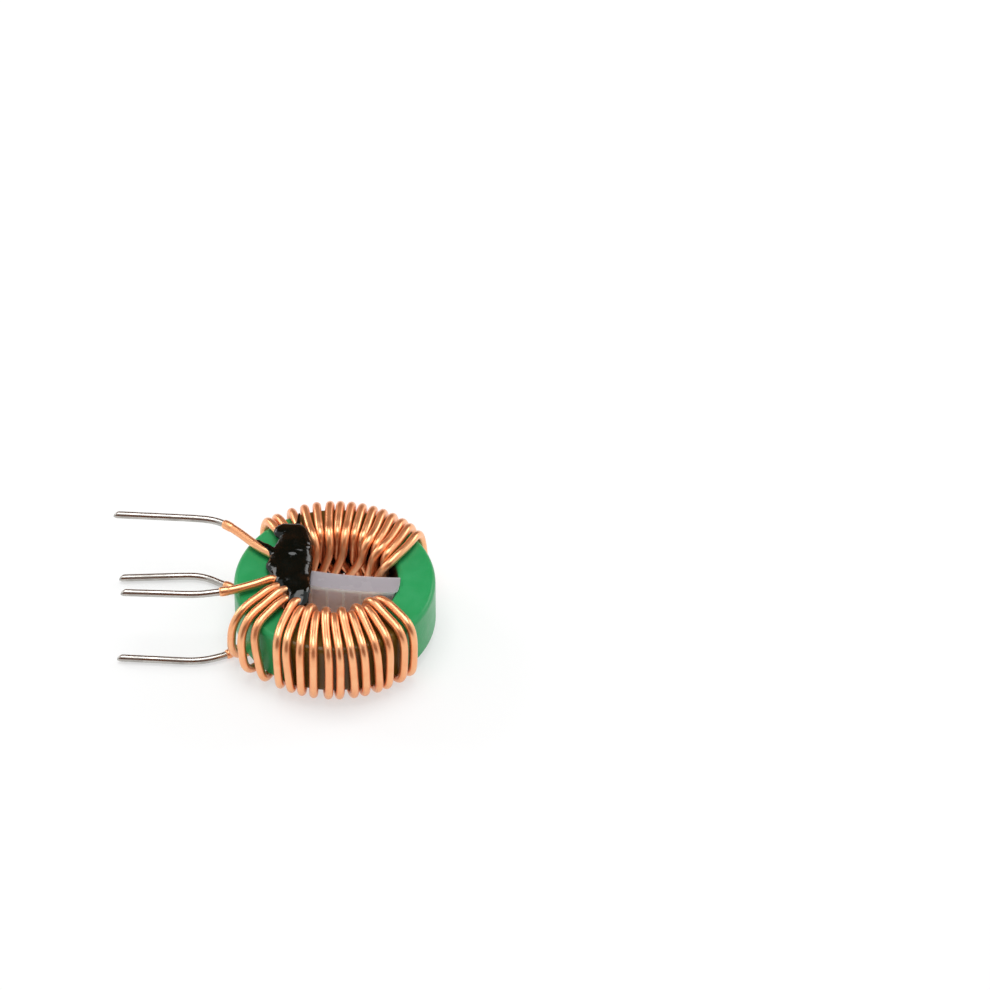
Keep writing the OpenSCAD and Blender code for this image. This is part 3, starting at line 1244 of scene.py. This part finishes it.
def front_winding() -> Winding:
    """The winding towards -Y.

    Returns:
        The winding.
    """
    top_bends = [
        (4.2, -3.12, T), (3.4, -3.07, T), (2.4, -2.9, T), (1.7, -2.76, T), (1.5, -2.72, L),
        (0.9, -2.61, L), (0.6, -2.56, E), (-0.2, -2.38, E), (-1.3, -1.96, E), (-2.5, -1.51, E),
    ]
    low_bends = [
        (4.8, -5.66, T), (3.4, -5.56, T), (2.1, -5.2, T), (1.1, -4.82, T), (0.9, -4.72, L),
        (0.4, -4.44, L), (0.1, -4.24, E), (-0.8, -3.39, E), (-2.2, -1.89, E),
    ]
    return Winding(
        side=Side.FRONT,
        outer=[30, 37, 43, 58.6, 64, 72.3, 79.8, 88, 93.9, 100, 106.7, 113.5, 121.3, 130.4, 137],
        drift=[-3, 4, 7.5, 1.5, 3, 0.5, -0.5, -0.5, -0.5, 1.5, 0.8, 1.4, -1.2, -1.5, -1],
        slack=[0.85, 0.95, 0.2],
        inner=front_inner(),
        order=[0, 2, 4, 6, 8, 10, 12, 14, 13, 11, 9, 7, 5, 3, 1],
        first_layer=8,
        ends=(8.0, 8.0),
        top=Lead("front_top_lead", back=1.2, tip_y=-2.81, angle=-2.4, bends=top_bends),
        low=Lead("front_low_lead", back=0.62, tip_y=-5.14, angle=-3.8, bends=low_bends),
        seed=3.0,
        crown_rise=0.4,
    )


def back_winding() -> Winding:
    """The winding towards +Y.

    Returns:
        The winding.
    """
    top_bends = [
        (4.9, 8.68, T), (3.6, 8.56, T), (2.7, 8.42, T), (1.6, 8.02, T), (1.35, 7.89, L),
        (0.7, 7.44, L), (0.4, 7.19, E), (-0.6, 6.29, E), (-1.7, 5.14, E), (-2.9, 3.94, E),
    ]
    low_bends = [
        (4.9, 7.48, T), (3.4, 7.21, T), (2.3, 6.58, T), (1.6, 6.18, T), (1.4, 6.08, L),
        (0.9, 5.82, L), (0.6, 5.66, E), (-0.6, 4.96, E), (-2.3, 3.66, E),
    ]
    return Winding(
        side=Side.BACK,
        outer=[50.5, 55.5, 65, 72.5, 79.5, 87, 92.5, 98.5, 104.5, 110.5, 116, 122, 128.5, 134, 141],
        drift=[-4, 0, 0, 0, 0, 0, 0, 0, 0, 1, 4, 4, 6.5, 6, 6],
        slack=[0.25, 0.05, 0],
        inner=back_inner(),
        order=[0, 2, 4, 6, 8, 9, 11, 13, 14, 12, 10, 7, 5, 3, 1],
        first_layer=9,
        ends=(23.0, 20.0),
        top=Lead("back_top_lead", back=0.0, tip_y=9.24, angle=-3.75, bends=top_bends),
        low=Lead("back_low_lead", back=0.38, tip_y=7.16, angle=2.3, bends=low_bends),
        seed=11.0,
        crown_rise=0.1,
    )


# ---------------------------------------------------------------- ring, divider, glue


@dataclass
class CoatedRing:
    """The ferrite ring, whose solid is kept and gets its coating."""

    node: str = "ferrite_core"

    def coat(self, cad: bpy.types.Object, epoxy: bpy.types.Material) -> None:
        """Gives the ring's solid its finish.

        Args:
            cad: The ring's CAD node.
            epoxy: Its material.
        """
        cad.data.materials.clear()
        cad.data.materials.append(epoxy)
        log.info("%s: %d faces, coated", self.node, len(cad.data.polygons))


@dataclass
class Divider:
    """The ribbed strip across the window, moulded with small round edges.

    Attributes:
        node: Its CAD node.
        weld: Distance within which the solid's points are one.
        flat_angle: Angle up to which its faces are one face.
        edge_r: Radius of its round edges.
        edge_steps: Number of faces across a round edge.
        edge_angle: Angle from which an edge is rounded.
        bow: Radius of its bow.
        turn: Its turn from the X axis.
        place: Its middle, from the ring's axis.
        panel_half: Half the thickness of its panels.
        panel_slack: How far a panel's face may lie from there.
        upright: Largest part of a panel's normal that points up or down.
    """

    node: str = "divider"
    weld: float = 0.002
    flat_angle: float = 1.0
    edge_r: float = 0.07
    edge_steps: int = 3
    edge_angle: float = 40.0
    bow: float = 52.0
    turn: float = -7.5
    place: tuple[float, float] = (1.1, -0.65)
    panel_half: float = 1.07
    panel_slack: float = 0.03
    upright: float = 0.5

    def _in_panel(self, face: bpy.types.MeshPolygon) -> bool:
        """Whether a face lies in a sunk panel between the ribs.

        Args:
            face: The face.

        Returns:
            True if it does.
        """
        lean = math.radians(self.turn)
        axis_x = RING.offset_x + self.place[0] - self.bow * math.sin(lean)
        axis_y = self.place[1] + self.bow * math.cos(lean)
        off = math.hypot(face.center.x / MM - axis_x, face.center.y / MM - axis_y) - self.bow
        sunk = abs(abs(off) - self.panel_half) < self.panel_slack
        return sunk and abs(face.normal.z) < self.upright

    def build(
        self, cad: bpy.types.Object, plastic: bpy.types.Material, panel_shade_plastic: bpy.types.Material
    ) -> None:
        """Rounds a copy of the strip's solid.

        Args:
            cad: The strip's CAD node.
            plastic: Its material.
            panel_shade_plastic: The material of its sunk panels, darker as painted shade.
        """
        shape = bmesh.new()
        shape.from_mesh(cad.data)
        bmesh.ops.remove_doubles(shape, verts=shape.verts, dist=self.weld * MM)
        flat = math.radians(self.flat_angle)
        bmesh.ops.dissolve_limit(shape, angle_limit=flat, verts=shape.verts, edges=shape.edges)
        strip = object_of("divider_strip", shape)
        bevel = strip.modifiers.new("edges", "BEVEL")
        bevel.width = self.edge_r * MM
        bevel.segments = self.edge_steps
        bevel.limit_method = "ANGLE"
        bevel.angle_limit = math.radians(self.edge_angle)
        strip.modifiers.new("flat_faces", "WEIGHTED_NORMAL").keep_sharp = True
        dress(baked(strip), [plastic, panel_shade_plastic], self.node)
        # The sunk panels take the darker material, painted shade in the recesses between the ribs
        panels = [face for face in strip.data.polygons if self._in_panel(face)]
        for face in panels:
            face.material_index = 1
        log.info("%s: %d panel faces", strip.name, len(panels))


@dataclass
class GlueDab:
    """A dab of glue, melted together from flattened balls.

    Attributes:
        node: The CAD node that it stands for.
        balls: Middle and half sizes of each ball, with the ring's axis and the table as origin.
        relax: How many times its skin is relaxed.
        wave_l: Length of its waves.
        wave_h: Largest height of its waves.
        wave_place: Where its waves are read from the noise.
        fineness: Times that a ball's faces are split.
        voxel: Grid size of its skin.
        relax_share: Share by which a point moves to its neighbours' middle each time.
    """

    node: str
    balls: list[tuple[Point, Point]]
    relax: int = 8
    wave_l: float = 1.1
    wave_h: float = 0.1
    wave_place: Point = (4.0, 6.8, -4.0)
    fineness: int = 4
    voxel: float = 0.09
    relax_share: float = 0.5

    def build(self, glue: bpy.types.Material) -> None:
        """Makes the dab.

        Args:
            glue: Its material.
        """
        dab = self._melted()
        place = Vector(self.wave_place)
        for v in dab.data.vertices:
            wave = noise.noise(v.co / (self.wave_l * MM) + place)
            v.co += v.normal * (wave * self.wave_h * MM)
        dab.data.update()
        dress(dab, [glue], self.node)

    def _melted(self) -> bpy.types.Object:
        """The balls under one relaxed skin.

        Returns:
            The skin's object.
        """
        shape = bmesh.new()
        for middle, half in self.balls:
            ball = bmesh.ops.create_icosphere(shape, subdivisions=self.fineness, radius=1.0)
            for v in ball["verts"]:
                rows = zip(middle, AXIS, v.co, half)
                v.co = Vector([(m + axis + unit * reach) * MM for m, axis, unit, reach in rows])
        dab = object_of(f"{self.node}_dab", shape)
        skin = dab.modifiers.new("skin", "REMESH")
        skin.mode = "VOXEL"
        skin.voxel_size = self.voxel * MM
        relaxing = dab.modifiers.new("relax", "SMOOTH")
        relaxing.factor = self.relax_share
        relaxing.iterations = self.relax
        return baked(dab)


# Balls strung between two lumps of a dab
STRUNG_BALLS = 6


def strung(runs: list[list[tuple[float, ...]]], start: Point) -> list[tuple[Point, Point]]:
    """Strings flattened balls closely along runs of lumps.

    Args:
        runs: Lumps, each as its middle from the start and its half sizes.
        start: Where the runs are measured from.

    Returns:
        Middle and half sizes of each ball.
    """
    balls = []
    for run in runs:
        for a, b in zip(run, run[1:]):
            for t in np.linspace(0.0, 1.0, STRUNG_BALLS):
                p = [u + (v - u) * t for u, v in zip(a, b)]
                balls.append((tuple(s + v for s, v in zip(start, p[:3])), tuple(p[3:])))
    return balls


def top_dab() -> GlueDab:
    """The dab over the first turns, both top leads and the strip's end.

    Returns:
        The dab.
    """
    over_turns = [
        (1.2, 6.2, 0.3, 1.1, 1.2, 0.6), (2.5, 5.9, 0.3, 1.35, 1.6, 0.75),
        (2.4, 4.3, 0.3, 2.0, 1.6, 0.9), (1.9, 1.4, -0.1, 2.6, 1.9, 1.1),
        (2.2, -1.0, -0.2, 2.1, 1.7, 1.2), (3.1, -2.4, 0.4, 1.25, 1.8, 0.6),
        (2.9, -3.9, -0.1, 1.2, 1.3, 0.7),
    ]
    back_tongue = [
        (2.7, 6.9, 0.2, 0.5, 0.8, 0.5), (2.8, 8.2, 0.2, 0.24, 0.5, 0.35),
        (2.85, 9.0, 0.25, 0.14, 0.2, 0.2),
    ]
    lead_tongue = [
        (1.5, 2.2, 0.0, 1.0, 1.0, 0.9), (-0.2, 3.4, 0.1, 0.6, 0.6, 0.5),
        (-1.6, 4.75, 0.1, 0.35, 0.4, 0.35),
    ]
    start = (-RING.inner_d / 2, 0.0, RING.top_lead_z)
    return GlueDab("top_glue", strung([over_turns, back_tongue, lead_tongue], start))


def bottom_dab() -> GlueDab:
    """The dab around the strip's foot, at the end away from the leads.

    Returns:
        The dab.
    """
    foot = [
        (5.3, -0.9, 0.95, 1.4, 2.5, 0.6), (3.9, -0.8, 0.95, 1.4, 2.25, 0.6),
        (2.8, -0.6, 0.85, 1.5, 2.0, 0.5),
    ]
    balls = strung([foot], (0.0, 0.0, 0.0))
    return GlueDab("bottom_glue", balls, relax=4, wave_l=1.6, wave_h=0.08)


# ---------------------------------------------------------------- studio


@dataclass(frozen=True)
class SoftBox:
    """A square soft light.

    Attributes:
        name: Its name.
        place: Its middle, in millimetres.
        size: Width and height of its face, in millimetres.
        radiance: Brightness of its face, where 1 is white.
    """

    name: str
    place: Point
    size: tuple[float, float]
    radiance: float

    def build(self, target: Vector) -> None:
        """Makes the light, turned to a target.

        Args:
            target: The point that it faces, in metres.
        """
        lamp = bpy.data.lights.new(self.name, "AREA")
        lamp.shape = "RECTANGLE"
        lamp.size, lamp.size_y = self.size[0] * MM, self.size[1] * MM
        lamp.energy = self.radiance * math.pi * lamp.size * lamp.size_y
        obj = bpy.data.objects.new(self.name, lamp)
        obj.location = Vector(self.place) * MM
        obj.rotation_euler = (target - obj.location).to_track_quat("-Z", "Y").to_euler()
        obj.visible_camera = False
        bpy.context.scene.collection.objects.link(obj)


@dataclass(frozen=True)
class Screen:
    """A dark curved screen beside the object that only polished surfaces show.

    Attributes:
        name: Its name.
        bearing: Where its middle stands, in degrees from +X.
        half_turn: Half its reach around the object, in degrees.
        radius: Its distance from the object, in millimetres.
        height: Its height, in millimetres.
        shade: Its colour, a brown that paints the copper's reflection of neighbouring copper into
            the dark that the wires reflect.
        steps: Number of points along it.
    """

    name: str
    bearing: float
    half_turn: float
    radius: float = 700.0
    height: float = 1400.0
    shade: Rgb = (0.22, 0.066, 0.018)
    steps: int = 24

    def build(self) -> None:
        """Makes the screen."""
        ends = self.bearing - self.half_turn, self.bearing + self.half_turn
        turn = np.radians(np.linspace(*ends, self.steps))
        reach = self.radius * np.stack([np.cos(turn), np.sin(turn)], axis=1)
        row = np.column_stack([reach, np.zeros(self.steps)])
        verts = np.vstack([row, row + (0.0, 0.0, self.height)])
        walls = [(i, i + 1, self.steps + i + 1, self.steps + i) for i in range(self.steps - 1)]
        obj = link(self.name, mesh_of(verts, walls))
        paint = Painter(self.name)
        paint.set(("Base Color", self.shade), ("Roughness", 1.0), ("Specular IOR Level", 0.0))
        obj.data.materials.append(paint.material)
        obj.visible_camera = obj.visible_diffuse = False
        obj.visible_shadow = obj.visible_transmission = False


@dataclass
class Studio:
    """The camera, the pale floor and the soft light.

    Attributes:
        eye: The camera's place, in millimetres.
        aim: The point in the middle of its view, in millimetres.
        half_frame: Half the width that it sees at its distance.
        distance: Its distance from the aim.
        sensor: Width of its sensor.
        floor_r: Radius of the floor.
        floor_sides: Number of points around the floor.
        floor_colour: The floor's grey.
        floor_roughness: The floor's roughness.
        floor_gloss: The floor's specular level.
        floor_white: Share of plain white in what the camera sees of the floor.
        ambient: Strength of the room's own light.
        backdrop: The room's colour behind the object.
        boxes: The soft lights.
        screens: The dark screens.
    """

    eye: Point = (24.292, -557.53, 578.31)
    aim: Point = (24.292, 8.154, 12.624)
    half_frame: float = 54.636
    distance: float = 800.0
    sensor: float = 36.0
    floor_r: float = 1500.0
    floor_sides: int = 96
    floor_colour: Rgb = (0.95, 0.95, 0.95)
    floor_roughness: float = 0.9
    floor_gloss: float = 0.1
    floor_white: float = 0.55
    ambient: float = 0.5
    backdrop: Rgb = (0.8, 0.8, 0.8)
    boxes: tuple[SoftBox, ...] = (
        SoftBox("top_box", (0.0, 60.0, 620.0), (420.0, 420.0), 3.8),
        SoftBox("left_box", (-510.0, 340.0, 270.0), (300.0, 260.0), 4.0),
        SoftBox("right_box", (545.0, 340.0, 270.0), (300.0, 260.0), 4.0),
    )
    screens: tuple[Screen, ...] = (
        Screen("front_screen", -90.0, 45.0),
        Screen("back_screen", 90.0, 62.0),
    )

    def build(self) -> None:
        """Makes the camera, floor, lamps, screens and world."""
        scene = bpy.context.scene
        scene.view_settings.view_transform = "Standard"
        self._camera(scene)
        self._floor()
        for box in self.boxes:
            box.build(Vector((RING.offset_x * MM, 0.0, RING.mid_z * MM)))
        for screen in self.screens:
            screen.build()
        self._world(scene)

    def _camera(self, scene: bpy.types.Scene) -> None:
        """Places the camera.

        Args:
            scene: The scene that looks through it.
        """
        data = bpy.data.cameras.new("camera")
        data.sensor_width = self.sensor
        data.lens = data.sensor_width / 2.0 * self.distance / self.half_frame
        camera = bpy.data.objects.new("camera", data)
        camera.location = Vector(self.eye) * MM
        view = Vector(self.aim) - Vector(self.eye)
        camera.rotation_euler = view.to_track_quat("-Z", "Y").to_euler()
        scene.collection.objects.link(camera)
        scene.camera = camera

    def _floor(self) -> None:
        """Makes the pale floor, with plain white mixed in where it is seen."""
        turn = np.linspace(0.0, 2.0 * np.pi, self.floor_sides, endpoint=False)
        reach = self.floor_r * np.stack([np.cos(turn), np.sin(turn)], axis=1)
        rim = np.column_stack([reach, np.zeros(self.floor_sides)])
        obj = link("floor", mesh_of(rim, [tuple(range(self.floor_sides))]))
        paint = Painter("floor")
        paint.set(
            ("Base Color", self.floor_colour),
            ("Roughness", self.floor_roughness),
            ("Specular IOR Level", self.floor_gloss),
        )
        tree = paint.tree
        shares = {0: self._seen(tree), 1: self.floor_white}
        share = add_node(tree, "Math", shares, operation="MULTIPLY").outputs[0]
        white = add_node(tree, "Emission").outputs[0]
        mix = add_node(tree, "MixShader", {0: share, 1: paint.shader.outputs[0], 2: white})
        fill(tree, tree.nodes["Material Output"].inputs["Surface"], mix.outputs[0])
        obj.data.materials.append(paint.material)

    @staticmethod
    def _seen(tree: bpy.types.NodeTree) -> Socket:
        """Picks out camera, glossy and transmission rays.

        Args:
            tree: The nodes in which it is wanted.

        Returns:
            A socket that is 1 for those rays and 0 for the rest.
        """
        rays = add_node(tree, "LightPath").outputs
        seen = rays["Is Camera Ray"]
        for label in ("Is Glossy Ray", "Is Transmission Ray"):
            either = add_node(tree, "Math", {0: seen, 1: rays[label]}, operation="MAXIMUM")
            seen = either.outputs[0]
        return seen

    def _world(self, scene: bpy.types.Scene) -> None:
        """Makes the room: pale behind the object and in its reflections, dimmer as a light.

        Args:
            scene: The scene that it surrounds.
        """
        world = bpy.data.worlds.new("room")
        world.use_nodes = True
        tree = world.node_tree
        dim = tree.nodes["Background"]
        dim.inputs["Color"].default_value = (1.0, 1.0, 1.0, 1.0)
        dim.inputs["Strength"].default_value = self.ambient
        pale = add_node(tree, "Background", {"Color": self.backdrop, "Strength": 1.0})
        shaders = {1: dim.outputs[0], 2: pale.outputs[0]}
        mix = add_node(tree, "MixShader", {0: self._seen(tree), **shaders})
        fill(tree, tree.nodes["World Output"].inputs["Surface"], mix.outputs[0])
        scene.world = world


# ---------------------------------------------------------------- build


def main() -> None:
    """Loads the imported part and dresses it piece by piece."""
    logging.basicConfig(level=logging.INFO, format="%(message)s")
    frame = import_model()
    Studio().build()
    kit = ShaderKit()
    ring, divider = CoatedRing(), Divider()
    ring.coat(frame["nodes"][ring.node], EpoxyCoat().material(kit))
    copper, tin = EnamelledCopper().material(kit), DippedTin().material(kit)
    for winding in (front_winding(), back_winding()):
        winding.build(copper, tin)
    plastic, panel_shade_plastic = MilkyPlastic().material(kit), SunkPanels().material(kit)
    divider.build(frame["nodes"][divider.node], plastic, panel_shade_plastic)
    glue = BlackGlue().material(kit)
    for dab in (top_dab(), bottom_dab()):
        dab.build(glue)


if __name__ == "__main__":
    main()
